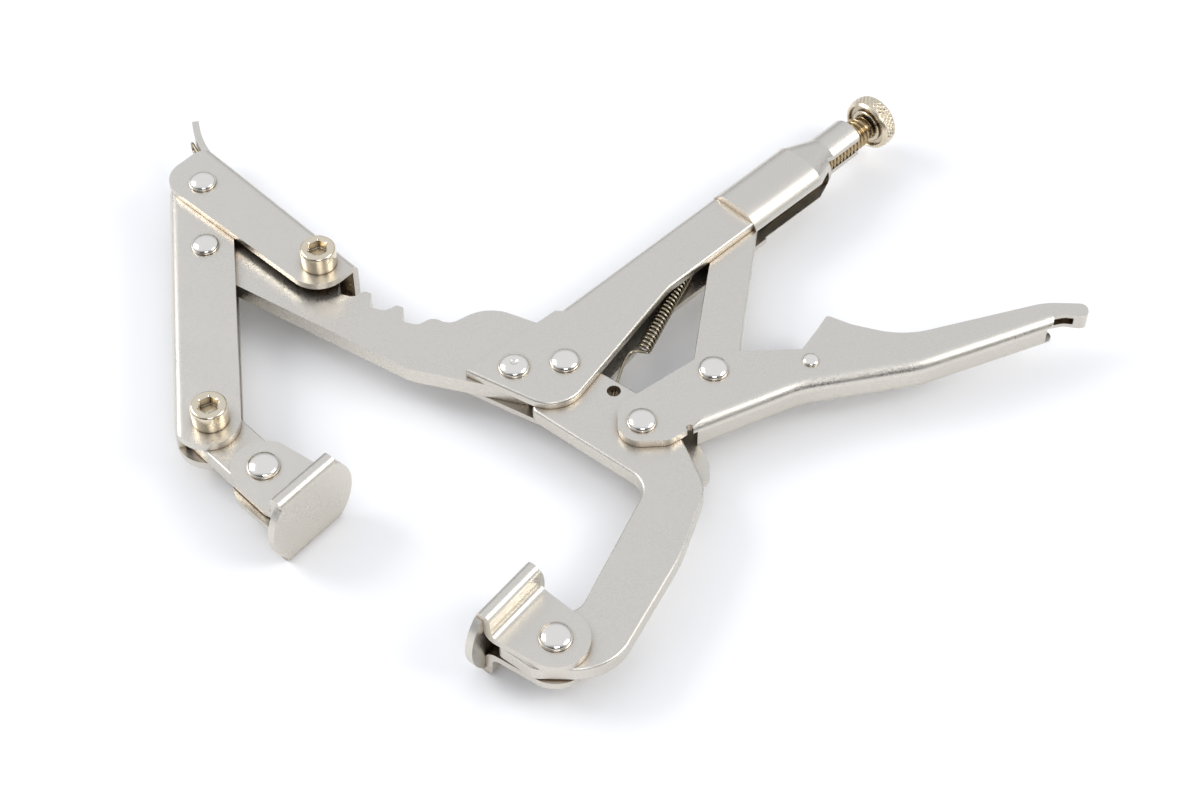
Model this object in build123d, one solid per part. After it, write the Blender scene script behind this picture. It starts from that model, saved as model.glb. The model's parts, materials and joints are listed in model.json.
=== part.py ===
from build123d import *
import math
import os

# Locking C-clamp pliers with a notched adjustable arm and two swivel pads.
# Millimetres, +Z up. The tool lies open on its two pads.
# Every outline is drawn in plan about the jaw pivot; place() then moves the
# finished piece so that the origin is the centre of the box it lies in.

# ---- driving dimensions ----
PLATE = 5.0            # jaw, bar, toggle and pad link plate
SHEET = 2.4            # pressed handle and arm channels
GAP = 0.1              # side clearance between a plate and the walls round it
BRACE_SHEET = 2.0
PAD_SHEET = 2.2
PAD_HEIGHT = 24.6
PAD_RADIUS = 14.2
PAD_RIDGE = 19.6       # length of the folded edge
HUB_RADIUS = 7.6       # moving jaw, round its pivot
PAD_REACH = 17.0       # rivet to the gripping face
PAD_OFFSET = 0.3       # face centre to one side of the rivet
PAD_BEND = 2.0
EAR_RADIUS = 8.7
PIN_R = 2.45           # every pivot rivet
HOLE_R = 2.5
DOME_RATIO = 0.52      # rivet head height to its radius
ROLL = 0.8             # die-rolled edges
BEND = 2.6             # outside radius where a channel's web turns into its walls
BLANK_WIDTH = 60.0
SCREW_M = 6.0          # the two socket cap screws
SCREW_HEAD_R = 5.0
SCREW_HEAD_H = 6.0
SOCKET_FLATS = 5.0
SOCKET_DEPTH = 3.0
NUT_FLATS = 10.0
NUT_H = 4.8
THREAD_R = 4.4         # adjusting screw
KNOB_R = 8.0
KNOB_LENGTH = 7.4
BORE_GAP = 0.08
LEVER_SHEET = 1.3

# ---- heights about the tool's mid plane ----
MID_Z = PAD_HEIGHT / 2
P = PLATE / 2
WALL_IN = P + GAP
WALL_OUT = WALL_IN + SHEET
BRACE_IN = WALL_OUT + GAP
BRACE_OUT = BRACE_IN + BRACE_SHEET

# ---- pivots in plan, from the jaw pivot ----
JAW_PIVOT = (0.0, 0.0)
BAR_RIVET = (-13.6, -1.8)
HANDLE_PIVOT = (20.4, -20.85)
LINK_PIVOT = (39.85, -2.85)
LEVER_PIVOT = (66.0, 0.35)
LOWER_PAD_PIVOT = (-1.4, -89.2)
SPRING_HOLE = (13.1, -8.3)
ARM_PIVOT = (-101.0, 42.9)
ARM_ANGLE = -82.7      # from the arm pivot towards the pad
ARM_TO_SCREW = 63.4
ARM_TO_BRACE = 23.0
BRACE_ANGLE = -41.2
BRACE_LENGTH = 47.3
PAD_LINK_ANGLE = -46.1
PAD_LINK_LENGTH = 22.1
UPPER_PAD_FACING = -39.9
LOWER_PAD_FACING = 142.0

# ---- fixed handle and adjusting screw, along and across a 45 degree axis ----
HANDLE_ANGLE = 45.0
SCREW_ACROSS = 6.0
TUBE_START = 73.6
TUBE_END = 101.0
NECK_START = 111.0
NECK_END = 122.7
KNOB_START = 129.1
BACK = 14.8            # outside of the handle's web
BULGE = 7.2            # half the height of the tube
TUBE_LOW = -2.6        # lips of the tube, either side of its slot
NECK_AXIS = 6.6
NECK_R = 5.8
NECK_OPEN = 2.0        # open seam side of the neck
LINK_LENGTH = 60.6
LINK_WIDTH = 12.0
TIP_CLEARANCE = 1.2    # open pivot: link end to the screw tip

# ---- notches, arm web and return spring ----
NOTCH_PITCH = (9.14, -5.17)
FIRST_NOTCH = (-69.1, 31.3)
NOTCHES = 4
ARM_WEB = -9.9
SPRING_START = (21.2, 8.2)
SPRING_ANGLE = 66.8
SPRING_LENGTH = 32.0
SPRING_R = 2.1

# ---- the box the tool lies in, about the jaw pivot ----
BOX_CENTRE = (14.963, 3.906)


def polar(start, angle, length):
    a = math.radians(angle)
    return (start[0] + length * math.cos(a), start[1] + length * math.sin(a))


def local(origin, angle, along, left):
    """A point given along a direction and to the left of it."""
    return polar(polar(origin, angle, along), angle + 90, left)


def handle_point(along, left):
    return local((0, 0), HANDLE_ANGLE, along, left)


BRACE_PIVOT = polar(ARM_PIVOT, ARM_ANGLE, -ARM_TO_BRACE)
ARM_SCREW = polar(ARM_PIVOT, ARM_ANGLE, ARM_TO_SCREW)
BRACE_SCREW = polar(BRACE_PIVOT, BRACE_ANGLE, BRACE_LENGTH)
UPPER_PAD_PIVOT = polar(ARM_SCREW, PAD_LINK_ANGLE, PAD_LINK_LENGTH)


def outline(*corners):
    """A face from (x, y, corner radius) triples."""
    points = [(x, y) for x, y, r in corners]
    return make_face(FilletPolyline(*points, radius=[r for x, y, r in corners], close=True))


def slab(face, low, high):
    """A flat face as a solid between two heights about the mid plane."""
    return Pos(0, 0, low) * extrude(face, amount=high - low)


def disc(at, radius, low, high):
    return Pos(at[0], at[1], low) * extrude(Circle(radius), amount=high - low)


def rivet(at, grip, head_r, pin_r=PIN_R, dimple=0.0):
    """A round-headed rivet, with a dome on each side of its grip."""
    head_h = DOME_RATIO * head_r
    dome_r = (head_r ** 2 + head_h ** 2) / (2 * head_h)
    cap = Pos(0, 0, head_h - dome_r) * Sphere(dome_r)
    cap = cap & Pos(0, 0, head_h) * Box(3 * head_r, 3 * head_r, 2 * head_h)
    if dimple:
        cap = cap - Pos(0, 0, head_h) * Sphere(dimple)
    shape = Cylinder(pin_r, 2 * grip) + Pos(0, 0, grip) * cap
    shape = shape + Pos(0, 0, -grip) * (Rot(180, 0, 0) * cap)
    return Pos(at[0], at[1], 0) * shape


def cap_screw(at, seat, end):
    """A socket cap screw standing on a seat height, with its shank down to end."""
    head = extrude(Circle(SCREW_HEAD_R), amount=SCREW_HEAD_H)
    head = fillet(head.edges().group_by(Axis.Z)[-1], 0.6)
    socket = RegularPolygon(SOCKET_FLATS / 2, 6, major_radius=False)
    head = head - Pos(0, 0, SCREW_HEAD_H - SOCKET_DEPTH) * extrude(socket, amount=SCREW_HEAD_H)
    shank = Pos(0, 0, end - seat) * extrude(Circle(SCREW_M / 2), amount=seat - end)
    return Pos(at[0], at[1], seat) * (head + shank)


def hex_nut(at, seat):
    """A nut hanging under a seat height, bored for its screw."""
    face = RegularPolygon(NUT_FLATS / 2, 6, major_radius=False) - Circle(SCREW_M / 2)
    return Pos(at[0], at[1], seat - NUT_H) * extrude(face, amount=NUT_H)


def rims(solid, height):
    """The edges of a flat piece that lie at a height, above and below the mid plane."""
    return [e for e in solid.edges() if abs(abs(e.center().Z) - height) < 0.01]


def stamped(face, half, roll):
    """A flat plate with die-rolled edges on both sides."""
    plate = slab(face, -half, half)
    return fillet(rims(plate, half), roll)


def bent_edge(start, end, side, half, radius):
    """A thick blank whose straight side from start to end is bent round on both rims."""
    angle = math.degrees(math.atan2(end[1] - start[1], end[0] - start[0]))
    back = BLANK_WIDTH if side == "left" else -BLANK_WIDTH
    far_end = local(end, angle, 0, back)
    far_start = local(start, angle, 0, back)
    blank = slab(make_face(Polyline(start, end, far_end, far_start, close=True)), -half, half)
    mid = ((start[0] + end[0]) / 2, (start[1] + end[1]) / 2)
    bent = [e for e in rims(blank, half) if math.dist((e.center().X, e.center().Y), mid) < 1.0]
    return fillet(bent, radius)


# ---- fixed handle ----
def handle_outline(*corners):
    """A face from (along, left, corner radius) triples on the handle's axis."""
    return outline(*[(*handle_point(along, left), r) for along, left, r in corners])


def handle_section(along, low, high, half, low_radius, high_radius):
    """A cross-section of the handle, from a low to a high side, with its corner radii."""
    frame = Plane(origin=(*handle_point(along, 0), 0), x_dir=(-1, 1, 0), z_dir=(1, 1, 0))
    corners = [(low, -half), (high, -half), (high, half), (low, half)]
    radii = [low_radius, high_radius, high_radius, low_radius]
    return frame * make_face(FilletPolyline(*corners, radius=radii, close=True))


def fixed_handle():
    """A pressed channel: flat head, bulged tube over the screw and a rolled neck."""
    def wall(belly, low, high):
        face = outline(
            (*handle_point(-21.0, 16.5), 0.0),
            (-0.6, -18.0, 10.0),
            (*handle_point(39.0, belly), 15.0),
            (*handle_point(TUBE_START + 4, belly), 0.0),
            (*handle_point(TUBE_START + 4, 6.0), 0.0),
            (*handle_point(13.5, BACK - BEND - 0.2), 0.0),
            (*handle_point(11.0, 15.0), 0.0),
        )
        half = slab(face, low, high)
        outer = max(abs(low), abs(high))
        lower = [e for e in rims(half, outer) if e.center().Y - e.center().X < 8.0]
        lower = [e for e in lower if not e.is_interior and e.center().X + e.center().Y < 105]
        return fillet(lower, ROLL)

    shape = wall(-0.95, 0.0, WALL_OUT) + wall(-2.8, -WALL_OUT, 0.0)
    channel = bent_edge(handle_point(11.0, BACK), handle_point(TUBE_START + 8, BACK), "right", WALL_OUT, BEND)
    behind = handle_outline((5, 1, 0), (5, 20, 0), (TUBE_START + 8, 20, 0), (TUBE_START + 8, 1, 0))
    shape = shape + (channel & slab(behind, -WALL_OUT, WALL_OUT))
    inner = outline(
        (-40.0, -35.0, 0.0),
        (90.0, -35.0, 0.0),
        (*handle_point(TUBE_START + 30, BACK - SHEET), 0.0),
        (*handle_point(28.5, BACK - SHEET), 38.0),
        (-21.5, 1.2, 3.0),
        (-29.0, -4.0, 0.0),
    )
    shape = shape - slab(inner, -WALL_IN, WALL_IN)
    # the web is cut away at the front, so that the bar can leave the head
    shape = shape - Pos(-14.8, 8.0, 0) * Rot(0, 0, 41.2) * Box(36.0, 20.0, 2 * WALL_IN)

    tube_front = handle_section(TUBE_START, TUBE_LOW, BACK, BULGE, 6.8, 5.0)
    tube_rear = handle_section(TUBE_END, TUBE_LOW - 0.3, BACK, BULGE, 6.8, 5.0)
    neck = [
        handle_section(a, NECK_AXIS - NECK_R, NECK_AXIS + NECK_R, NECK_R, NECK_R - 0.05, NECK_R - 0.05)
        for a in (NECK_START, NECK_END)
    ]
    tube = loft([tube_front, tube_rear]) + loft([tube_rear, neck[0]]) + loft(neck)
    hollow_rear = handle_section(TUBE_END, TUBE_LOW + SHEET, BACK - SHEET, BULGE - SHEET, 4.4, 2.6)
    hollow = loft([
        handle_section(TUBE_START - 1, TUBE_LOW + SHEET, BACK - SHEET, BULGE - SHEET, 4.4, 2.6),
        hollow_rear,
    ])
    bore = THREAD_R + BORE_GAP
    throat = handle_section(
        NECK_START, SCREW_ACROSS - bore, SCREW_ACROSS + bore, bore, bore - 0.05, bore - 0.05)
    hollow = hollow + loft([hollow_rear, throat])
    shape = shape + tube - hollow

    slot_long = NECK_START - TUBE_START - 4
    slot_centre = handle_point((TUBE_START + NECK_START) / 2 - 3, -6.0)
    slot = Pos(*slot_centre, 0) * Rot(0, 0, HANDLE_ANGLE) * Box(slot_long, 14.0, 2 * WALL_IN)
    seam = Pos(*handle_point(NECK_START + 12, NECK_OPEN - 10), 0) * Rot(0, 0, HANDLE_ANGLE)
    seam = seam * Box(30.0, 20.0, 40.0)
    clear = slab(inner, -WALL_IN, WALL_IN)
    clear = clear & (Pos(*handle_point(40, 0), 0) * Rot(0, 0, HANDLE_ANGLE) * Box(90, 80, 20))
    shape = shape - slot - seam - clear
    shape = shape - screw_cylinder(bore, TUBE_END, NECK_END + 5)
    for pivot in (BAR_RIVET, JAW_PIVOT):
        shape = shape - disc(pivot, HOLE_R, -20, 20)
    return shape


# ---- notched bar ----
def notched_bar():
    """The fixed upper jaw bar: four hooked notches, a hump and a clamped root."""
    teeth = []
    for i in range(NOTCHES):
        x = FIRST_NOTCH[0] + i * NOTCH_PITCH[0]
        y = FIRST_NOTCH[1] + i * NOTCH_PITCH[1]
        teeth.append((x - 3.1, y + 0.9, 0.6))
        teeth.append((x + 1.2, y - 0.5, 2.5))
        if i < NOTCHES - 1:
            teeth.append((x + 4.3, y + 1.7, 1.2))
            teeth.append((x + 6.24, y + 0.8, 0.7))
    face = outline(
        (ARM_PIVOT[0] - 7.6, ARM_PIVOT[1] - 1.4, 5.5),
        (ARM_PIVOT[0] - 2.5, ARM_PIVOT[1] + 9.0, 6.5),
        (-74.0, 37.6, 1.0),
        *teeth,
        (x + 5.2, y + 2.3, 3.0),
        (x + 10.0, y - 0.2, 4.0),
        (-21.5, 22.4, 12.0),
        (-6.0, 15.2, 3.0),
        (-4.5, 2.0, 0.0),
        (-6.5, -4.6, 0.0),
        (-9.5, -9.2, 1.5),
        (-42.0, -0.6, 14.0),
        (ARM_PIVOT[0] - 0.5, ARM_PIVOT[1] - 6.5, 6.5),
    )
    shape = slab(face, -P, P)
    shape = shape - disc(JAW_PIVOT, HUB_RADIUS + 0.4, -P, P)
    return shape - disc(ARM_PIVOT, HOLE_R, -P, P) - disc(BAR_RIVET, HOLE_R, -P, P)


# ---- moving jaw ----
def lower_jaw():
    """The C-shaped moving jaw plate, from its hub round to the pad."""
    x, y = LOWER_PAD_PIVOT
    face = outline(
        (-9.6, -14.0, 2.2),
        (21.9, -39.4, 7.0),
        (4.0, -79.9, 6.0),
        (x - 7.3, y + 9.6, 3.0),
        (x - 14.6, y - 0.4, 1.6),
        (x - 5.5, y - 7.6, 5.0),
        (12.6, -97.2, 15.0),
        (30.2, -62.2, 60.0),
        (36.9, -41.0, 12.0),
        (27.6, -14.9, 6.0),
        (6.0, 1.4, 4.0),
    )
    shape = stamped(face, P, ROLL) + disc(JAW_PIVOT, HUB_RADIUS, -P, P)
    for pivot in (JAW_PIVOT, HANDLE_PIVOT, LOWER_PAD_PIVOT):
        shape = shape - disc(pivot, HOLE_R, -P, P)
    return shape - disc(SPRING_HOLE, 1.9, -P, P)


# ---- movable handle ----
def movable_handle():
    """A pressed channel whose web is its outer, lower side, with two flat ears."""
    x, y = HANDLE_PIVOT
    channel = outline(
        (33.5, -23.4, 0.0),
        (63.5, -8.5, 30.0),
        (96.0, -1.7, 40.0),
        (130.5, 13.0, 0.0),
        (135.5, 15.8, 2.0),
        (130.0, 18.6, 2.0),
        (72.0, 4.7, 60.0),
        (38.3, 3.4, 0.0),
    )
    shape = slab(channel, -WALL_OUT, WALL_OUT)
    web = [e for e in rims(shape, WALL_OUT) if e.center().Y < 0.36 * (e.center().X - 33.5) - 17.0]
    web = [e for e in web if e.center().X < 130.0]
    shape = fillet(web, 3.2)
    ear = outline(
        (x - 6.4, y + 5.5, 6.0),
        (x - 6.4, y - 7.2, 6.2),
        (27.6, -27.2, 5.0),
        (32.4, -23.5, 0.0),
        (36.0, -20.0, 0.0),
        (45.0, 3.6, 0.0),
        (38.3, 3.4, 8.0),
    )
    shape = shape + slab(ear, -WALL_OUT, WALL_OUT)
    lug = outline(
        (24.0, -22.0, 0.0),
        (24.0, -28.5, 0.0),
        (33.0, -34.5, 3.0),
        (38.2, -35.6, 2.5),
        (38.2, -29.0, 6.0),
        (35.4, -22.4, 0.0),
    )
    shape = shape + slab(lug, -WALL_OUT, -WALL_IN)
    inner = outline(
        (0.0, -60.0, 0.0),
        (34.5, -60.0, 0.0),
        (35.2, -19.8, 0.0),
        (62.9, -6.0, 28.0),
        (95.3, 0.8, 38.0),
        (129.6, 15.2, 0.0),
        (133.0, 12.0, 0.0),
        (145.0, 12.0, 0.0),
        (145.0, 60.0, 0.0),
        (0.0, 60.0, 0.0),
    )
    shape = shape - slab(inner, -WALL_IN, WALL_IN)
    shape = shape - disc((33.0, -22.9), 1.0, WALL_IN - 0.1, 20)
    for pivot in (HANDLE_PIVOT, LINK_PIVOT):
        shape = shape - disc(pivot, HOLE_R, -20, 20)
    return shape - disc(LEVER_PIVOT, 1.5, -20, 20)


# ---- release lever ----
def release_lever():
    """A folded thumb lever lying inside the movable handle."""
    face = outline(
        (63.0, -3.6, 3.0),
        (69.5, -3.6, 3.0),
        (100.0, 5.6, 40.0),
        (121.5, 15.4, 30.0),
        (137.0, 19.2, 3.0),
        (143.6, 18.2, 2.0),
        (143.6, 23.2, 2.2),
        (132.0, 23.6, 20.0),
        (108.0, 16.3, 30.0),
        (92.0, 11.4, 25.0),
        (78.0, 15.6, 8.0),
        (71.6, 18.9, 1.0),
        (69.2, 14.6, 1.5),
        (62.0, 3.2, 3.0),
    )
    inner = outline(
        (50.0, -10.0, 0.0),
        (100.0, -10.0, 0.0),
        (139.5, 10.0, 0.0),
        (139.5, 21.6, 1.0),
        (132.4, 22.2, 18.0),
        (108.4, 14.9, 28.0),
        (92.0, 10.0, 25.0),
        (77.6, 14.0, 8.0),
        (73.0, 16.4, 0.5),
        (70.9, 13.6, 1.5),
        (64.0, 3.4, 1.0),
    )
    shape = slab(face, -P, P) - slab(inner, LEVER_SHEET - P, P - LEVER_SHEET)
    return shape - disc(LEVER_PIVOT, 1.5, -P, P)


# ---- toggle link ----
def link_end():
    """Centre of the toggle link's free end, on the screw's axis."""
    along = 40.0
    for _ in range(30):
        x, y = handle_point(along, SCREW_ACROSS)
        along -= (math.hypot(x - LINK_PIVOT[0], y - LINK_PIVOT[1]) - LINK_LENGTH)
    return handle_point(along, SCREW_ACROSS), along


LINK_END, LINK_END_ALONG = link_end()


def toggle_link():
    """A flat strut from the movable handle to the end of the adjusting screw."""
    body = make_hull(
        (Pos(*LINK_PIVOT) * Circle(LINK_WIDTH / 2)).edges()
        + (Pos(*LINK_END) * Circle(LINK_WIDTH / 2)).edges()
    )
    return stamped(body, P, 0.5) - disc(LINK_PIVOT, HOLE_R, -P, P)


# ---- adjusting screw ----
def screw_cylinder(radius, start, end):
    at = handle_point(start, SCREW_ACROSS)
    face = Plane(origin=(*at, 0), x_dir=(0, 0, 1), z_dir=(1, 1, 0)) * Circle(radius)
    return extrude(face, amount=end - start)


SCREW_TIP = LINK_END_ALONG + LINK_WIDTH / 2 + TIP_CLEARANCE


def adjusting_screw():
    """The threaded rod, with a plain relief beside its knob."""
    rod = screw_cylinder(THREAD_R, SCREW_TIP + 1.5, KNOB_START - 1.2)
    tip = screw_cylinder(THREAD_R - 1.0, SCREW_TIP, SCREW_TIP + 1.5)
    relief = screw_cylinder(THREAD_R - 0.7, KNOB_START - 1.2, KNOB_START + 1.0)
    return rod + tip + relief


def knurled_knob():
    """The thumb knob, recessed round the rod."""
    body = screw_cylinder(KNOB_R, KNOB_START, KNOB_START + KNOB_LENGTH)
    ends = [e for e in body.edges() if e.geom_type == GeomType.CIRCLE]
    body = chamfer(ends, 1.0)
    recess = screw_cylinder(KNOB_R - 1.6, KNOB_START, KNOB_START + 1.0)
    return body - recess


# ---- tension spring ----
def tension_spring():
    """The return spring's close coil, as a tube beside the toggle link."""
    end = polar(SPRING_START, SPRING_ANGLE, SPRING_LENGTH)
    heading = (end[0] - SPRING_START[0], end[1] - SPRING_START[1], 0)
    across = Plane(origin=(*SPRING_START, 0), x_dir=(0, 0, 1), z_dir=heading)
    return extrude(across * (Circle(SPRING_R) - Circle(SPRING_R - 0.9)), amount=SPRING_LENGTH)


# ---- adjustable arm ----
def upper_arm():
    """A channel with its web on the outer side, riveted across the bar."""
    def at(along, left):
        return local(ARM_PIVOT, ARM_ANGLE, along, left)

    face = outline(
        (*at(-ARM_TO_BRACE - 7.4, 7.4), 7.0),
        (*at(-ARM_TO_BRACE - 7.4, -6.0), 6.0),
        (*at(-ARM_TO_BRACE + 1.5, -10.4), 5.0),
        (*at(ARM_TO_SCREW + 8.8, -9.9), 9.4),
        (*at(ARM_TO_SCREW + 8.8, 7.7), 8.2),
        (*at(-10.0, 8.0), 20.0),
    )
    blank = bent_edge(at(-60, ARM_WEB), at(100, ARM_WEB), "left", WALL_OUT, BEND)
    shape = blank & slab(face, -WALL_OUT, WALL_OUT)
    inner = outline(
        (*at(-60, 40), 0.0),
        (*at(-60, -40), 0.0),
        (*at(-15.0, -40), 0.0),
        (*at(-15.0, ARM_WEB + SHEET), 0.0),
        (*at(66.0, ARM_WEB + SHEET), 0.0),
        (*at(66.0, -40), 0.0),
        (*at(90, -40), 0.0),
        (*at(90, 40), 0.0),
    )
    shape = shape - slab(inner, -WALL_IN, WALL_IN)
    for pivot in (BRACE_PIVOT, ARM_PIVOT):
        shape = shape - disc(pivot, HOLE_R, -20, 20)
    return shape - disc(ARM_SCREW, SCREW_M / 2, -20, 20)


# ---- brace ----
def brace_link():
    """The outer channel that props the arm, with a curled thumb tab on its web."""
    def at(along, left):
        return local(BRACE_PIVOT, BRACE_ANGLE, along, left)

    right_end = BRACE_LENGTH + 8.4
    face = outline(
        (*at(-10.6, -7.5), 8.0),
        (*at(right_end, -9.0), 9.0),
        (*at(right_end, 20.0), 0.0),
        (*at(-10.6, 20.0), 0.0),
    )
    corner = outline((*at(-10.6, -30), 0), (*at(99, -30), 0), (*at(99, 4.0), 0), (*at(-10.6, 11.3), 5))
    blank = bent_edge(at(-40, 13.6), at(90, 4.0), "right", BRACE_OUT, BEND)
    shape = blank & slab(face, -BRACE_OUT, BRACE_OUT) & slab(corner, -BRACE_OUT, BRACE_OUT)
    inner = outline(
        (*at(-60, -40), 0.0),
        (*at(90, -40), 0.0),
        (*at(90, 4.0 - BRACE_SHEET), 0.0),
        (*at(-40, 13.6 - BRACE_SHEET), 0.0),
        (*at(-60, 13.6), 0.0),
    )
    shape = shape - slab(inner, -BRACE_IN, BRACE_IN)
    root = at(-4.0, 10.0)
    curl = polar(root, BRACE_ANGLE + 172, 6.0)
    tip = polar(curl, BRACE_ANGLE + 152, 14.7)
    heading = Vector(*polar((0, 0), BRACE_ANGLE + 180, 1))
    bend = TangentArc([root, curl], tangent=heading)
    bend = bend + TangentArc([curl, tip], tangent=bend % 1)
    shape = shape + slab(trace(bend, line_width=BRACE_SHEET), -4.0, 4.0)
    return shape - disc(BRACE_PIVOT, HOLE_R, -20, 20) - disc(BRACE_SCREW, SCREW_M / 2, -20, 20)


def brace_spring():
    """A torsion spring coiled on the brace rivet, its loop against the thumb tab."""
    x, y = BRACE_PIVOT
    shape = Pos(x, y, 0) * extrude(Circle(3.9) - Circle(3.0), amount=2.3, both=True)
    leg = [(x - 3.3, y), (x - 2.6, y + 14.0), (x - 5.9, y + 21.5)]
    for side in (1.6, -1.6):
        path = FilletPolyline(*[(px, py, side) for px, py in leg], radius=8.0)
        start = Plane(origin=path @ 0, z_dir=path % 0)
        shape = shape + sweep(start * Circle(0.45), path=path)
    end = leg[-1]
    return shape + Pos(end[0], end[1], 0) * Cylinder(0.45, 4.0)


# ---- pad link ----
def pad_link():
    """A flat link that carries the upper pad."""
    def at(along, left):
        return local(ARM_SCREW, PAD_LINK_ANGLE, along, left)

    face = outline(
        (*at(-6.9, 6.9), 6.8),
        (*at(-6.9, -6.9), 6.8),
        (*at(PAD_LINK_LENGTH + 11.4, -7.0), 4.0),
        (*at(PAD_LINK_LENGTH + 11.4, 7.0), 4.0),
    )
    shape = stamped(face, P, 0.6)
    return shape - disc(ARM_SCREW, SCREW_M / 2 + 0.05, -P, P) - disc(UPPER_PAD_PIVOT, HOLE_R, -P, P)


# ---- swivel pad ----
def swivel_pad(pivot, facing):
    """One folded stamping: two ears, a hem at each end and a round-sided face."""
    half = PAD_HEIGHT / 2
    front = PAD_REACH - PAD_SHEET
    face = Circle(PAD_RADIUS) & Rectangle(4 * PAD_RADIUS, PAD_HEIGHT - 2 * PAD_SHEET)
    face = face + Rectangle(PAD_RIDGE, PAD_HEIGHT - 2 * PAD_SHEET)
    shape = Pos(front, PAD_OFFSET, 0) * extrude(Plane.YZ * face, amount=PAD_SHEET)
    hem = Pos(front, 0, half - PAD_SHEET) * Rot(90, 0, 0) * Cylinder(PAD_SHEET, PAD_RIDGE)

    ear_high = WALL_IN + PAD_SHEET
    back = front - PAD_SHEET
    tail = -EAR_RADIUS - 4
    profile = make_face(FilletPolyline(
        (tail, WALL_IN),
        (front, WALL_IN),
        (front, half - PAD_SHEET),
        (back, half - PAD_SHEET),
        (back, ear_high),
        (tail, ear_high),
        radius=[0, PAD_BEND + PAD_SHEET - 0.6, 0, 0, PAD_BEND, 0],
        close=True,
    ))
    strip = extrude(Plane.XZ * profile, amount=PAD_RIDGE / 2, both=True)
    shoulder = Pos(front, 0) * Rectangle(2.0, PAD_RIDGE)
    plan = make_hull(Circle(EAR_RADIUS).edges() + shoulder.edges())
    upper = hem + (strip & extrude(plan, amount=half))
    shape = shape + upper + Rot(180, 0, 0) * upper
    shape = shape - Cylinder(HOLE_R, 2 * ear_high + 1)
    return Pos(pivot[0], pivot[1], 0) * Rot(0, 0, facing) * shape


NODES = {
    "fixed_handle": fixed_handle(),
    "notched_bar": notched_bar(),
    "bar_rivet": rivet(BAR_RIVET, WALL_OUT, 4.3, dimple=0.9),
    "jaw_pivot_rivet": rivet(JAW_PIVOT, WALL_OUT, 4.1),
    "lower_jaw": lower_jaw(),
    "movable_handle": movable_handle(),
    "handle_rivet": rivet(HANDLE_PIVOT, WALL_OUT, 4.0),
    "link_rivet": rivet(LINK_PIVOT, WALL_OUT, 4.1),
    "lever_rivet": rivet(LEVER_PIVOT, WALL_OUT, 2.3, 1.45),
    "release_lever": release_lever(),
    "toggle_link": toggle_link(),
    "adjusting_screw": adjusting_screw(),
    "knurled_knob": knurled_knob(),
    "tension_spring": tension_spring(),
    "upper_arm": upper_arm(),
    "arm_pivot_rivet": rivet(ARM_PIVOT, WALL_OUT, 3.9),
    "brace_link": brace_link(),
    "brace_rivet": rivet(BRACE_PIVOT, BRACE_OUT, 3.95),
    "brace_spring": brace_spring(),
    "brace_screw": cap_screw(BRACE_SCREW, BRACE_OUT, -BRACE_OUT - NUT_H),
    "brace_nut": hex_nut(BRACE_SCREW, -BRACE_OUT),
    "arm_screw": cap_screw(ARM_SCREW, WALL_OUT, -WALL_OUT - NUT_H),
    "arm_nut": hex_nut(ARM_SCREW, -WALL_OUT),
    "pad_link": pad_link(),
    "upper_pad": swivel_pad(UPPER_PAD_PIVOT, UPPER_PAD_FACING),
    "upper_pad_rivet": rivet(UPPER_PAD_PIVOT, WALL_IN + PAD_SHEET, 4.4),
    "lower_pad": swivel_pad(LOWER_PAD_PIVOT, LOWER_PAD_FACING),
    "lower_pad_rivet": rivet(LOWER_PAD_PIVOT, WALL_IN + PAD_SHEET, 4.3),
}


def place(shape):
    return Pos(-BOX_CENTRE[0], -BOX_CENTRE[1], MID_Z) * shape


os.makedirs("parts", exist_ok=True)
boxes = []
for name, shape in NODES.items():
    placed = place(shape)
    boxes.append(placed.bounding_box())
    export_step(placed, "parts/" + name + ".step")

low = [min(box.min.X for box in boxes), min(box.min.Y for box in boxes), min(box.min.Z for box in boxes)]
high = [max(box.max.X for box in boxes), max(box.max.Y for box in boxes), max(box.max.Z for box in boxes)]
print("box", [round(v, 3) for v in low], [round(v, 3) for v in high])
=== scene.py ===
"""Locking C-clamp pliers: fine pieces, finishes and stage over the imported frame."""

import json
import math

import bpy
from bpy.props import FloatProperty, FloatVectorProperty, IntProperty, PointerProperty
from mathutils import Matrix, Vector


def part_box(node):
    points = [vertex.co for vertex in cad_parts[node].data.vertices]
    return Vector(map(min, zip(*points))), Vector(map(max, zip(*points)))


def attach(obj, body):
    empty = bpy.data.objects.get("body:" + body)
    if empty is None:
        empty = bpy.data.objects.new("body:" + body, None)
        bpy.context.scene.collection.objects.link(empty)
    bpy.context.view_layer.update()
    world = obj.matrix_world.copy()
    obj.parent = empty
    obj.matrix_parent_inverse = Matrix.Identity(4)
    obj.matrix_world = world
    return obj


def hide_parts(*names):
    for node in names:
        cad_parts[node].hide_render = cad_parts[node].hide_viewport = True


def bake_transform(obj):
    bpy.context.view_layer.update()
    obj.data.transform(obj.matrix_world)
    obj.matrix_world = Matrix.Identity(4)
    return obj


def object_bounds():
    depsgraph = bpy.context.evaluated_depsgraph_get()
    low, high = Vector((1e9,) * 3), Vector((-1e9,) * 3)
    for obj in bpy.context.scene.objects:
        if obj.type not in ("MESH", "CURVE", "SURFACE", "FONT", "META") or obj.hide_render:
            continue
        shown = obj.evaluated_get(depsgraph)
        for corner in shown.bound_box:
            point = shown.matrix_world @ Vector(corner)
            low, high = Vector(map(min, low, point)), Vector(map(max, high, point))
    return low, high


bl_info = {
    "name": "Locking Clamp Pliers",
    "version": (1, 0, 0),
    "blender": (4, 5, 0),
    "location": "View3D > Sidebar > Clamp Pliers",
    "description": "Builds the fine pieces, finishes and stage of a pair of locking clamp pliers",
    "category": "Object",
}

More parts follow.
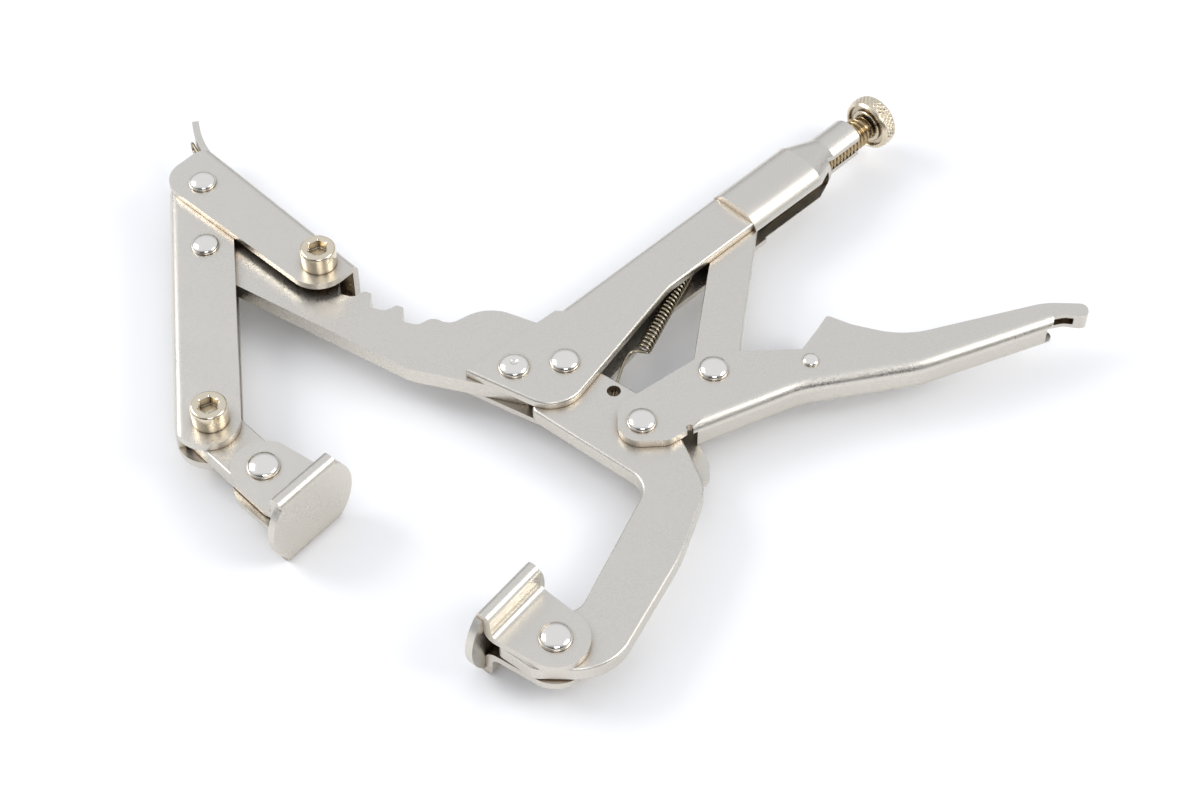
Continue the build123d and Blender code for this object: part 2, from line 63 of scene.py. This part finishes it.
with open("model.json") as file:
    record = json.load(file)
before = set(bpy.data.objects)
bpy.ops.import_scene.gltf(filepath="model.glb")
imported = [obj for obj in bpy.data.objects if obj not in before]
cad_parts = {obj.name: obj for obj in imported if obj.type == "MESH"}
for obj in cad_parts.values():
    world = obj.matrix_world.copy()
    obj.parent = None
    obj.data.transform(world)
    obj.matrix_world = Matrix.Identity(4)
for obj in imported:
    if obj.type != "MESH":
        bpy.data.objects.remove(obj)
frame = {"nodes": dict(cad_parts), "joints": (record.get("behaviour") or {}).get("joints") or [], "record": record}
CAD_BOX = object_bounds()
MM = 0.001
JOINTS = {joint["name"]: joint for joint in frame["joints"]}


def linear(code):
    """The linear colour of an sRGB hex code such as "D9D6D0"."""
    channels = [int(code[i:i + 2], 16) / 255 for i in (0, 2, 4)]
    return tuple(c / 12.92 if c <= 0.04045 else ((c + 0.055) / 1.055) ** 2.4 for c in channels)


# ---- what a user would change ----
class ClampSizes(bpy.types.PropertyGroup):
    """Sizes of the fine pieces that replace plain frame solids."""

    thread_pitch: FloatProperty(
        name="Thread pitch", description="Pitch of the adjusting screw", default=1.5 * MM, unit="LENGTH")
    thread_depth: FloatProperty(
        name="Thread depth", description="Depth of the adjusting screw's thread", default=0.85 * MM,
        unit="LENGTH")
    knurl_count: IntProperty(
        name="Knurl count", description="Diamonds round the thumb knob", default=34, min=8)
    knurl_depth: FloatProperty(
        name="Knurl depth", description="Depth of the knob's diamonds", default=0.42 * MM, unit="LENGTH")
    spring_wire: FloatProperty(
        name="Return spring wire", description="Wire diameter of the return spring", default=0.85 * MM,
        unit="LENGTH")
    brace_wire: FloatProperty(
        name="Brace spring wire", description="Wire diameter of the torsion spring", default=0.9 * MM,
        unit="LENGTH")
    grain: FloatProperty(
        name="Blasted grain", description="Size of the grain in the satin plating", default=0.3 * MM,
        unit="LENGTH")


class ClampColours(bpy.types.PropertyGroup):
    """Colours of the finishes and of the stage."""

    plating: FloatVectorProperty(
        name="Plating", description="Satin nickel plating", default=linear("DCD7CD"), subtype="COLOR")
    # Painted shade: a warm dark colour mixed into the plating in corners and recesses, wherever an ambient
    # occlusion mask finds them.
    painted_crevice_shade: FloatVectorProperty(
        name="Crevice", description="Warm tone of the plating in corners", default=linear("8E7659"),
        subtype="COLOR")
    bright: FloatVectorProperty(
        name="Bright nickel", description="Polished nickel of rivets", default=linear("EDE9E0"),
        subtype="COLOR")
    screws: FloatVectorProperty(
        name="Screws", description="Bright nickel of the cap screws", default=linear("E2D6BF"),
        subtype="COLOR")
    thread: FloatVectorProperty(
        name="Thread", description="Oiled nickel of the screw thread", default=linear("C2AD88"),
        subtype="COLOR")
    wire: FloatVectorProperty(
        name="Spring wire", description="Oiled music wire", default=linear("A59B86"), subtype="COLOR")
    floor: FloatVectorProperty(
        name="Floor", description="Pale floor", default=linear("F6F6F6"), subtype="COLOR")


# ---- materials ----
def add_node(tree, kind, settings=None, inputs=None):
    """Adds a node, sets its attributes, and sets or links its inputs by name or number."""
    node = tree.nodes.new(kind)
    for name, value in (settings or {}).items():
        setattr(node, name, value)
    for name, value in (inputs or {}).items():
        if isinstance(value, bpy.types.NodeSocket):
            tree.links.new(value, node.inputs[name])
        else:
            node.inputs[name].default_value = value
    return node


def start_material(name):
    """An empty node material with a texture coordinate node, whose Object output places the textures."""
    material = bpy.data.materials.new(name)
    material.use_nodes = True
    tree = material.node_tree
    tree.nodes.clear()
    place = add_node(tree, "ShaderNodeTexCoord").outputs["Object"]
    return material, tree, place


def end_material(tree, shader):
    add_node(tree, "ShaderNodeOutputMaterial", inputs={"Surface": shader.outputs[0]})


def satin_nickel(name, colours, sizes, roughness, grain_bump, painted_crevice_shade):
    """Pressed sheet, shot-blasted and nickel plated: a soft pearly sheen broken by fine sparkling grain, a little
    duller in patches, with painted shade in corners, where an ambient occlusion mask mixes in a warm dark colour.
    The grain is drawn coarse enough to show."""
    material, tree, place = start_material(name)
    grain = add_node(tree, "ShaderNodeTexNoise", {"noise_dimensions": "3D"}, {
        "Vector": place, "Scale": 1 / sizes.grain, "Detail": 3.0, "Roughness": 0.65})
    patch = add_node(tree, "ShaderNodeTexNoise", None, {
        "Vector": place, "Scale": 1 / (14 * MM), "Detail": 4.0, "Roughness": 0.6})
    sparkle = add_node(tree, "ShaderNodeTexVoronoi", None, {
        "Vector": place, "Scale": 1 / (0.45 * MM), "Randomness": 1.0})
    facets = add_node(tree, "ShaderNodeSeparateColor", None, {"Color": sparkle.outputs["Color"]})
    dull = add_node(tree, "ShaderNodeMapRange", None, {
        "Value": patch.outputs[0], "From Min": 0.3, "From Max": 0.7,
        "To Min": roughness - 0.02, "To Max": roughness + 0.03})
    glint = add_node(tree, "ShaderNodeMapRange", None, {
        "Value": facets.outputs[0], "From Min": 0.0, "From Max": 1.0, "To Min": -0.07, "To Max": 0.07})
    rough = add_node(tree, "ShaderNodeMath", {"operation": "ADD"}, {
        0: dull.outputs[0], 1: glint.outputs[0]})
    # Painted shade: the ambient occlusion mask below mixes the warm dark colour into the plating in corners and
    # recesses.
    corners = add_node(tree, "ShaderNodeAmbientOcclusion", {"samples": 8}, {"Distance": 5 * MM})
    depth = add_node(tree, "ShaderNodeMapRange", {"interpolation_type": "SMOOTHSTEP"}, {
        "Value": corners.outputs["AO"], "From Min": 0.25, "From Max": 0.85,
        "To Min": painted_crevice_shade, "To Max": 0.0})
    tone = add_node(tree, "ShaderNodeMapRange", None, {
        "Value": grain.outputs[0], "From Min": 0.25, "From Max": 0.75, "To Min": 0.9, "To Max": 1.04})
    base = add_node(tree, "ShaderNodeMix", {"data_type": "RGBA"}, {
        "Factor": depth.outputs[0], "A": (*colours.plating, 1), "B": (*colours.painted_crevice_shade, 1)})
    shade = add_node(tree, "ShaderNodeVectorMath", {"operation": "SCALE"}, {
        0: base.outputs["Result"], "Scale": tone.outputs[0]})
    bump = add_node(tree, "ShaderNodeBump", None, {
        "Height": grain.outputs[0], "Strength": grain_bump, "Distance": 0.06 * MM})
    shader = add_node(tree, "ShaderNodeBsdfPrincipled", None, {
        "Base Color": shade.outputs[0], "Metallic": 1.0, "Roughness": rough.outputs[0],
        "Normal": bump.outputs[0]})
    end_material(tree, shader)
    return material


def bright_nickel(name, colour, roughness, haze_mm, painted_crevice_shade_colour, painted_crevice_shade):
    """Polished nickel plate over steel: mirror-like, with a faint orange-peel haze and fine rubs, and with painted
    shade where it meets its neighbours: an ambient occlusion mask mixes in a warm dark colour."""
    material, tree, place = start_material(name)
    peel = add_node(tree, "ShaderNodeTexNoise", None, {
        "Vector": place, "Scale": 1 / (haze_mm * MM), "Detail": 3.0, "Roughness": 0.55})
    rubs = add_node(tree, "ShaderNodeTexNoise", None, {
        "Vector": place, "Scale": 1 / (0.5 * MM), "Detail": 5.0, "Roughness": 0.7})
    rough = add_node(tree, "ShaderNodeMapRange", None, {
        "Value": rubs.outputs[0], "From Min": 0.35, "From Max": 0.7,
        "To Min": roughness, "To Max": roughness + 0.12})
    # Painted shade: the ambient occlusion mask below mixes the dark colour into the nickel where it meets its
    # neighbours.
    corners = add_node(tree, "ShaderNodeAmbientOcclusion", {"samples": 8}, {"Distance": 2.5 * MM})
    depth = add_node(tree, "ShaderNodeMapRange", {"interpolation_type": "SMOOTHSTEP"}, {
        "Value": corners.outputs["AO"], "From Min": 0.2, "From Max": 0.8,
        "To Min": painted_crevice_shade, "To Max": 0.0})
    base = add_node(tree, "ShaderNodeMix", {"data_type": "RGBA"}, {
        "Factor": depth.outputs[0], "A": (*colour, 1), "B": (*painted_crevice_shade_colour, 1)})
    bump = add_node(tree, "ShaderNodeBump", None, {
        "Height": peel.outputs[0], "Strength": 0.15, "Distance": 0.05 * MM})
    shader = add_node(tree, "ShaderNodeBsdfPrincipled", None, {
        "Base Color": base.outputs["Result"], "Metallic": 1.0, "Roughness": rough.outputs[0],
        "Normal": bump.outputs[0]})
    end_material(tree, shader)
    return material


def pale_floor(colours):
    """A matt painted studio floor with a barely visible mottle."""
    material, tree, place = start_material("matt_painted_floor")
    mottle = add_node(tree, "ShaderNodeTexNoise", None, {"Vector": place, "Scale": 18.0, "Detail": 3.0})
    tone = add_node(tree, "ShaderNodeMapRange", None, {
        "Value": mottle.outputs[0], "To Min": 0.985, "To Max": 1.0})
    shade = add_node(tree, "ShaderNodeVectorMath", {"operation": "SCALE"}, {
        0: tuple(colours.floor), "Scale": tone.outputs[0]})
    shader = add_node(tree, "ShaderNodeBsdfPrincipled", None, {
        "Base Color": shade.outputs[0], "Roughness": 0.9})
    end_material(tree, shader)
    return material


def finish(slot):
    """The finish of one of the record's material slots, made once."""
    sizes = bpy.context.scene.clamp_sizes
    colours = bpy.context.scene.clamp_colours
    # The last number of each finish is the strength of its painted shade in corners; the dark brown codes are the
    # colours of that painted shade.
    makers = {
        "plated_steel": lambda n: satin_nickel(n, colours, sizes, 0.34, 0.3, 0.75),
        "plated_plate": lambda n: satin_nickel(n, colours, sizes, 0.33, 0.25, 0.75),
        "polished_nickel": lambda n: bright_nickel(n, colours.bright, 0.07, 1.2, colours.painted_crevice_shade, 0.9),
        "screw_nickel": lambda n: bright_nickel(n, colours.screws, 0.12, 0.8, linear("4A3A26"), 1.0),
        "thread_nickel": lambda n: bright_nickel(n, colours.thread, 0.18, 0.6, linear("4F3D27"), 1.0),
        "knurled_nickel": lambda n: bright_nickel(n, colours.screws, 0.22, 0.6, linear("5E4C36"), 1.0),
        "spring_wire": lambda n: bright_nickel(n, colours.wire, 0.16, 0.5, linear("2E261B"), 1.0),
    }
    names = {
        "plated_steel": "satin_nickel_plated_sheet",
        "plated_plate": "satin_nickel_plated_plate",
        "polished_nickel": "polished_nickel_rivet",
        "screw_nickel": "bright_nickel_cap_screw",
        "thread_nickel": "oiled_nickel_thread",
        "knurled_nickel": "knurled_nickel_knob",
        "spring_wire": "oiled_music_wire",
    }
    name = names[slot]
    return bpy.data.materials.get(name) or makers[slot](name)


# ---- mesh helpers ----
def slot_of(node):
    """The record's material slot of a CAD node."""
    for row in frame["record"]["subparts"]:
        if row["node"] == node:
            return row["material_slot"]
    raise RuntimeError("no material slot for " + node)


def body_of(node):
    for body, members in frame["record"]["behaviour"]["bodies"].items():
        if node in members:
            return body
    raise RuntimeError("no body for " + node)


def new_piece(name, vertices, faces, node):
    """A smooth mesh piece that replaces and hides a CAD node and is finished as it was."""
    mesh = bpy.data.meshes.new(name)
    mesh.from_pydata(vertices, [], faces)
    mesh.update()
    piece = bpy.data.objects.new(name, mesh)
    bpy.context.scene.collection.objects.link(piece)
    mesh.materials.append(finish(slot_of(node)))
    mesh.shade_smooth()
    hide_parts(node)
    return piece


def ring_stack(rings, place):
    """Vertices and faces of rings of equal length; the first and last are closed by a fan."""
    count = len(rings[0])
    vertices = [place @ Vector(p) for ring in rings for p in ring]
    faces = []
    for i in range(len(rings) - 1):
        for k in range(count):
            a, b = i * count + k, i * count + (k + 1) % count
            faces.append((a, a + count, b + count, b))
    first = sum((Vector(p) for p in rings[0]), Vector()) / count
    last = sum((Vector(p) for p in rings[-1]), Vector()) / count
    vertices += [place @ first, place @ last]
    base, top = (len(rings) - 1) * count, len(vertices) - 1
    for k in range(count):
        faces.append((top - 1, k, (k + 1) % count))
        faces.append((top, base + (k + 1) % count, base + k))
    return vertices, faces


def circle(radius, height, steps):
    """Points of a ring about Z; radius may be a function of the angle."""
    points = []
    for k in range(steps):
        angle = math.tau * k / steps
        r = radius(angle) if callable(radius) else radius
        points.append((r * math.cos(angle), r * math.sin(angle), height))
    return points


def arc(centre, radius, start, end, steps):
    """(r, z) points of a profile's arc, by angles in degrees."""
    points = []
    for i in range(steps + 1):
        a = math.radians(start + (end - start) * i / steps)
        points.append((centre[0] + radius * math.cos(a), centre[1] + radius * math.sin(a)))
    return points


def hexagon(flats):
    """Radius of a hexagon as a function of the angle."""
    def radius(angle):
        turn = (angle + math.pi / 6) % (math.pi / 3) - math.pi / 6
        return flats / 2 / math.cos(turn)
    return radius


def axis_frame(start, heading):
    """A frame at a point, with its Z along a heading."""
    heading = heading.normalized()
    return Matrix.Translation(start) @ heading.to_track_quat("Z", "Y").to_matrix().to_4x4()


def rod_ends(node):
    """Start, heading, length and radius of a CAD cylinder lying at 45 degrees in plan."""
    low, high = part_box(node)
    radius = (high.z - low.z) / 2
    length = (high.x - low.x) * math.sqrt(2) - 2 * radius
    heading = Vector((1, 1, 0)).normalized()
    start = (low + high) / 2 - heading * length / 2
    return start, heading, length, radius


def tube(points, radius, sides=12):
    """Vertices and faces of a round wire that follows points."""
    rings = []
    normal = None
    for i, point in enumerate(points):
        ahead = points[min(i + 1, len(points) - 1)] - points[max(i - 1, 0)]
        ahead.normalize()
        if normal is None:
            normal = ahead.orthogonal().normalized()
        normal = (normal - ahead * normal.dot(ahead)).normalized()
        side = ahead.cross(normal)
        ring = []
        for k in range(sides):
            a = math.tau * k / sides
            ring.append(point + radius * (math.cos(a) * normal + math.sin(a) * side))
        rings.append(ring)
    return ring_stack(rings, Matrix.Identity(4))


def smooth_path(corners, steps):
    """Points on a Catmull-Rom curve through given corners."""
    padded = [2 * corners[0] - corners[1], *corners, 2 * corners[-1] - corners[-2]]
    points = []
    for i in range(1, len(padded) - 2):
        a, b, c, d = padded[i - 1:i + 3]
        for k in range(steps):
            t = k / steps
            points.append(0.5 * (2 * b + (c - a) * t + (2 * a - 5 * b + 4 * c - d) * t ** 2
                                 + (3 * b - a - 3 * c + d) * t ** 3))
    return points + [corners[-1]]


# ---- pieces ----
class CLAMP_OT_plates(bpy.types.Operator):
    """Finish the sheet, plate, lever, pads and nuts of the frame"""

    bl_idname = "clamp.plates"
    bl_label = "Finish Plates"

    def execute(self, context):
        for name, node in frame["nodes"].items():
            node.data.materials.clear()
            node.data.materials.append(finish(slot_of(name)))
        return {"FINISHED"}


class CLAMP_OT_rivets(bpy.types.Operator):
    """Build the domed rivets at every pivot"""

    bl_idname = "clamp.rivets"
    bl_label = "Build Rivets"

    STEPS = 64
    DOME_STEPS = 16
    HEAD_SHARE = 0.52      # head height to head radius
    PIN_SHARE = 0.57       # pin radius to head radius
    RIM = 0.16             # height of the head's upright rim, to its whole height
    EDGE = 0.985           # where the dome ends and the rim begins, to the head radius
    CROWN = 2.3            # how flat the dome's crown is
    DIMPLE = 0.6 * MM      # depth of the small dimple in the bar's rivet
    DIMPLE_SHARE = 0.27    # dimple radius to head radius

    def execute(self, context):
        rivets = [name for name in frame["nodes"] if name.endswith("_rivet")]
        if not rivets:
            raise RuntimeError("the frame has no rivets")
        for name in rivets:
            low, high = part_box(name)
            radius = (high.x - low.x) / 2
            half = (high.z - low.z) / 2
            head = self.HEAD_SHARE * radius
            profile = []
            for i in range(1, self.DOME_STEPS + 1):
                out = i / self.DOME_STEPS
                dome = math.sqrt(max(1 - (self.EDGE * out) ** self.CROWN, 0.0))
                rise = head * (self.RIM + (1 - self.RIM) * dome)
                profile.append((radius * min(out, self.EDGE), half - head + rise))
            if name == "bar_rivet":
                for i, (r, z) in enumerate(profile):
                    sink = max(0.0, 1 - (r / (self.DIMPLE_SHARE * radius)) ** 2)
                    profile[i] = (r, z - self.DIMPLE * sink)
            profile.append((radius, half - head + 0.1 * head))
            profile.append((radius * self.EDGE, half - head))
            profile.append((radius * self.PIN_SHARE, half - head))
            rings = [circle(r, z, self.STEPS) for r, z in profile]
            rings += [circle(r, -z, self.STEPS) for r, z in reversed(profile)]
            rings.reverse()
            place = Matrix.Translation((low + high) / 2)
            piece = new_piece(name + "_dome", *ring_stack(rings, place), name)
            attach(piece, body_of(name))
        return {"FINISHED"}


class CLAMP_OT_cap_screws(bpy.types.Operator):
    """Build the two socket cap screws"""

    bl_idname = "clamp.cap_screws"
    bl_label = "Build Cap Screws"

    HEAD = 6.0 * MM
    RIM = 0.9 * MM
    FLATS = 5.0 * MM
    SHANK = 3.0 * MM
    STEPS = 96

    def execute(self, context):
        for name in ("brace_screw", "arm_screw"):
            low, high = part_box(name)
            radius = (high.x - low.x) / 2
            middle = (low + high) / 2
            top = high.z
            seat = top - self.HEAD
            socket = hexagon(self.FLATS)
            wide = self.FLATS / math.sqrt(3) + 0.22 * MM
            rings = [circle(self.SHANK - 0.4 * MM, low.z, self.STEPS),
                     circle(self.SHANK, low.z + 0.4 * MM, self.STEPS),
                     circle(self.SHANK, seat, self.STEPS),
                     circle(radius - 0.15 * MM, seat, self.STEPS),
                     circle(radius, seat + 0.15 * MM, self.STEPS)]
            rings += [circle(r, z, self.STEPS)
                      for r, z in arc((radius - self.RIM, top - self.RIM), self.RIM, 0, 90, 8)]
            rings += [circle(wide, top, self.STEPS), circle(socket, top - 0.3 * MM, self.STEPS),
                      circle(socket, top - 2.9 * MM, self.STEPS),
                      circle(lambda a: 0.96 * socket(a), top - 3.0 * MM, self.STEPS)]
            place = Matrix.Translation((middle.x, middle.y, 0))
            rings.reverse()
            vertices, faces = ring_stack(rings, place)
            faces = [tuple(reversed(face)) for face in faces]
            piece = new_piece(name + "_head", vertices, faces, name)
            sharpen(piece, 40)
            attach(piece, body_of(name))
        return {"FINISHED"}


def sharpen(piece, degrees):
    """Keeps edges sharper than an angle crisp in a smooth-shaded mesh."""
    piece.data.set_sharp_from_angle(angle=math.radians(degrees))


class CLAMP_OT_thread(bpy.types.Operator):
    """Build the adjusting screw with its rolled thread"""

    bl_idname = "clamp.thread"
    bl_label = "Build Adjusting Screw"

    AROUND = 48
    PER_TURN = 12
    CREST = 0.16           # flat share of the pitch at crest and root

    def execute(self, context):
        sizes = context.scene.clamp_sizes
        start, heading, length, radius = rod_ends("adjusting_screw")
        plain_end = length - 2.4 * MM
        rows = int(plain_end / sizes.thread_pitch * self.PER_TURN)
        rings = []
        for i in range(rows + 1):
            along = plain_end * i / rows
            ends = min(1.0, along / (1.6 * MM))
            def thread(angle, along=along, ends=ends):
                phase = (along / sizes.thread_pitch - angle / math.tau) % 1
                ramp = (abs(2 * phase - 1) - self.CREST) / (1 - 2 * self.CREST)
                ramp = min(max(ramp, 0.0), 1.0)
                return radius - sizes.thread_depth * (1 - ramp * ends)
            rings.append(circle(thread, along, self.AROUND))
        neck = radius - 0.75 * MM
        rings += [circle(neck, plain_end + 0.25 * MM, self.AROUND), circle(neck, length, self.AROUND)]
        piece = new_piece("adjusting_screw_thread", *ring_stack(rings, axis_frame(start, heading)),
                          "adjusting_screw")
        sharpen(piece, 50)
        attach(piece, body_of("adjusting_screw"))
        return {"FINISHED"}


class CLAMP_OT_knob(bpy.types.Operator):
    """Build the diamond-knurled thumb knob"""

    bl_idname = "clamp.knob"
    bl_label = "Build Knob"

    BORE = 3.75 * MM
    COLLAR = 5.0 * MM
    RECESS = 6.5 * MM
    CHAMFER = 1.0 * MM
    ROWS = 60

    def execute(self, context):
        sizes = context.scene.clamp_sizes
        start, heading, length, radius = rod_ends("knurled_knob")
        steps = sizes.knurl_count * 10
        diamond = math.tau * radius / sizes.knurl_count

        def knurl(along):
            def height(angle):
                u = radius * angle / diamond
                v = along / (1.25 * diamond)
                ridge = [abs(2 * (w % 1) - 1) for w in (u + v, u - v)]
                edge = min(along, length - along) / self.CHAMFER
                rise = min(max(edge - 1, 0) * 3, 1)
                return min(ridge) * rise
            return height

        rings = [circle(r, z, steps) for r, z in (
            (self.BORE, 0.9 * MM), (self.BORE, 0.25 * MM), (self.BORE + 0.2 * MM, 0.05 * MM),
            (self.COLLAR - 0.2 * MM, 0.05 * MM), (self.COLLAR, 0.25 * MM), (self.COLLAR, 1.0 * MM),
            (self.RECESS, 1.0 * MM), (self.RECESS, 0.15 * MM), (self.RECESS + 0.15 * MM, 0.0),
            (radius - self.CHAMFER - 0.1 * MM, 0.0))]
        for i in range(self.ROWS + 1):
            along = length * i / self.ROWS
            edge = min(along, length - along)
            body = radius - max(self.CHAMFER - edge, 0) - 0.02 * MM
            height = knurl(along)
            depth = sizes.knurl_depth * edge_ramp(edge, self.CHAMFER)
            rings.append(circle(
                lambda a, body=body, depth=depth, height=height: body - depth * (1 - height(a)),
                along, steps))
        rings += [circle(r, length, steps) for r in (radius - 1.2 * MM, 1.6 * MM)]
        rings += [circle(1.2 * MM, length - 0.35 * MM, steps)]
        vertices, faces = ring_stack(rings, axis_frame(start, heading))
        piece = new_piece("thumb_knob", vertices, faces, "knurled_knob")
        sharpen(piece, 38)
        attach(piece, body_of("knurled_knob"))
        return {"FINISHED"}


def edge_ramp(edge, chamfer):
    """0 on a chamfer, rising to 1 just behind it."""
    return min(max((edge - 0.6 * chamfer) / (0.6 * chamfer), 0.0), 1.0)


class CLAMP_OT_return_spring(bpy.types.Operator):
    """Build the return spring, from the fixed handle to the moving jaw"""

    bl_idname = "clamp.return_spring"
    bl_label = "Build Return Spring"

    ANGLE = 66.8           # degrees, of the coil's axis in plan
    COIL = 4.2 * MM        # outside diameter
    PITCH = 1.45 * MM
    # the hook's route from the coil's lower end to the hole in the jaw
    HOOK = (
        (-2.9, -0.35, 0.0),
        (-4.9, -3.4, 0.2),
        (-7.2, -11.7, 0.3),
        (-8.4, -16.2, -0.6),
        (-7.9, -16.9, -2.6),
    )

    def execute(self, context):
        sizes = context.scene.clamp_sizes
        low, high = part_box("tension_spring")
        heading = Vector((math.cos(math.radians(self.ANGLE)), math.sin(math.radians(self.ANGLE)), 0))
        middle = (low + high) / 2
        length = ((high.y - low.y) - self.COIL * math.cos(math.radians(self.ANGLE))) / heading.y
        start = middle - heading * length / 2
        wire = sizes.spring_wire
        turns = int(length / self.PITCH)
        radius = (self.COIL - wire) / 2
        side = Vector((heading.y, -heading.x, 0))
        points = []
        hook = [start + Vector(p) * MM for p in reversed(self.HOOK)]
        first = start + radius * side
        points += smooth_path([*hook, first], 10)[:-1]
        steps = 20
        for i in range(turns * steps + 1):
            angle = math.tau * i / steps
            along = length * i / (turns * steps)
            points.append(start + heading * along + radius * (
                math.cos(angle) * side + math.sin(angle) * Vector((0, 0, 1))))
        piece = new_piece("return_spring_coil", *tube(points, wire / 2), "tension_spring")
        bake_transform(piece)
        return {"FINISHED"}


class CLAMP_OT_brace_spring(bpy.types.Operator):
    """Build the torsion spring coiled on the brace rivet"""

    bl_idname = "clamp.brace_spring"
    bl_label = "Build Brace Spring"

    COIL = 3.45 * MM       # radius to the wire's centre
    SPREAD = 1.6 * MM      # each leg from the mid plane
    LEG = ((-2.6, 14.0), (-5.9, 21.5))

    def execute(self, context):
        sizes = context.scene.clamp_sizes
        centre = Vector(JOINTS["brace_pivot"]["pos_m"])
        wire = sizes.brace_wire
        half = []
        steps = 24
        for i in range(2 * steps + 1):
            angle = math.pi - math.tau * i / steps
            rise = self.SPREAD + wire * (1 - i / steps)
            half.append(Vector((self.COIL * math.cos(angle), self.COIL * math.sin(angle), rise)))
        knee, tip = (Vector((x * MM, y * MM, 0)) for x, y in self.LEG)
        lift = Vector((0, 0, self.SPREAD))
        top = [half[-1], Vector((-3.2 * MM, 5 * MM, 0)) + lift, knee + lift, tip + lift * 0.98]
        leg = smooth_path(top, 10)
        bow = tip + (tip - knee).normalized() * 0.9 * MM
        upper = half[:-1] + leg
        lower = [Vector((p.x, p.y, -p.z)) for p in reversed(upper)]
        loop = [bow + lift * 0.62, bow - lift * 0.62]
        points = [centre + p for p in upper + loop + lower]
        piece = new_piece("brace_spring_wire", *tube(points, wire / 2), "brace_spring")
        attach(piece, body_of("brace_spring"))
        return {"FINISHED"}


class CLAMP_OT_stage(bpy.types.Operator):
    """Set the floor, the lights and the camera"""

    bl_idname = "clamp.stage"
    bl_label = "Set Stage"

    FLOOR = 3.0

    def execute(self, context):
        scene = context.scene
        colours = scene.clamp_colours
        low = CAD_BOX[0]
        mesh = bpy.data.meshes.new("floor")
        reach = self.FLOOR
        corners = [(-reach, -reach, 0), (reach, -reach, 0), (reach, reach, 0), (-reach, reach, 0)]
        mesh.from_pydata(corners, [], [(0, 1, 2, 3)])
        mesh.materials.append(pale_floor(colours))
        floor = bpy.data.objects.new("floor", mesh)
        floor.location.z = low[2] - 0.05 * MM
        scene.collection.objects.link(floor)

        world = bpy.data.worlds.new("studio")
        world.use_nodes = True
        scene.world = world
        tree = world.node_tree
        tree.nodes.clear()
        direction = add_node(tree, "ShaderNodeTexCoord").outputs["Generated"]
        parts = add_node(tree, "ShaderNodeSeparateXYZ", None, {0: direction})
        height = add_node(tree, "ShaderNodeMapRange", {"interpolation_type": "SMOOTHSTEP"}, {
            "Value": parts.outputs[2], "From Min": 0.0, "From Max": 0.55, "To Min": 0.4, "To Max": 0.92})
        front = add_node(tree, "ShaderNodeMapRange", {"interpolation_type": "SMOOTHSTEP"}, {
            "Value": parts.outputs[1], "From Min": -0.9, "From Max": -0.25, "To Min": 0.12, "To Max": 1.0})
        level = add_node(tree, "ShaderNodeMath", {"operation": "MULTIPLY"}, {
            0: height.outputs[0], 1: front.outputs[0]})
        background = add_node(tree, "ShaderNodeBackground", None, {
            "Color": (*linear("F4F7FF"), 1), "Strength": level.outputs[0]})
        add_node(tree, "ShaderNodeOutputWorld", None, {"Surface": background.outputs[0]})

        lights = (
            ("left_softbox", (-0.95, 0.3, 0.75), 0.6, 6.0, "FFFFFF"),
            ("right_softbox", (0.95, -0.2, 0.8), 0.6, 5.0, "FFFDF8"),
            ("front_softbox", (0.1, -1.0, 0.8), 0.5, 3.0, "FAFBFF"),
        )
        for name, place, size, power, colour in lights:
            lamp = bpy.data.lights.new(name, "AREA")
            lamp.shape = "SQUARE"
            lamp.size = size
            lamp.energy = power
            lamp.color = linear(colour)
            holder = bpy.data.objects.new(name, lamp)
            holder.location = place
            holder.rotation_euler = (-Vector(place)).to_track_quat("-Z", "Y").to_euler()
            scene.collection.objects.link(holder)

        camera = bpy.data.objects.new("camera", bpy.data.cameras.new("camera"))
        camera.location = (-0.00556, -0.42575, 0.5039)
        camera.rotation_euler = (math.radians(40), 0, 0)
        camera.data.lens = 72
        camera.data.sensor_width = 36
        camera.data.clip_start = 0.01
        camera.data.clip_end = 20
        scene.collection.objects.link(camera)
        scene.camera = camera
        scene.view_settings.view_transform = "Standard"
        return {"FINISHED"}


OPERATORS = (
    CLAMP_OT_plates,
    CLAMP_OT_rivets,
    CLAMP_OT_cap_screws,
    CLAMP_OT_thread,
    CLAMP_OT_knob,
    CLAMP_OT_return_spring,
    CLAMP_OT_brace_spring,
    CLAMP_OT_stage,
)


class CLAMP_PT_panel(bpy.types.Panel):
    """Buttons and values of the clamp pliers"""

    bl_idname = "CLAMP_PT_panel"
    bl_label = "Clamp Pliers"
    bl_space_type = "VIEW_3D"
    bl_region_type = "UI"
    bl_category = "Clamp Pliers"

    def draw(self, context):
        for operator in OPERATORS:
            self.layout.operator(operator.bl_idname)
        for group in (context.scene.clamp_sizes, context.scene.clamp_colours):
            for name in group.__annotations__:
                self.layout.prop(group, name)


CLASSES = (ClampSizes, ClampColours, *OPERATORS, CLAMP_PT_panel)


def register():
    for item in CLASSES:
        bpy.utils.register_class(item)
    bpy.types.Scene.clamp_sizes = PointerProperty(type=ClampSizes)
    bpy.types.Scene.clamp_colours = PointerProperty(type=ClampColours)


def unregister():
    del bpy.types.Scene.clamp_colours
    del bpy.types.Scene.clamp_sizes
    for item in reversed(CLASSES):
        bpy.utils.unregister_class(item)


def main():
    register()
    bpy.ops.clamp.plates()
    bpy.ops.clamp.rivets()
    bpy.ops.clamp.cap_screws()
    bpy.ops.clamp.thread()
    bpy.ops.clamp.knob()
    bpy.ops.clamp.return_spring()
    bpy.ops.clamp.brace_spring()
    bpy.ops.clamp.stage()


if __name__ == "__main__":
    main()
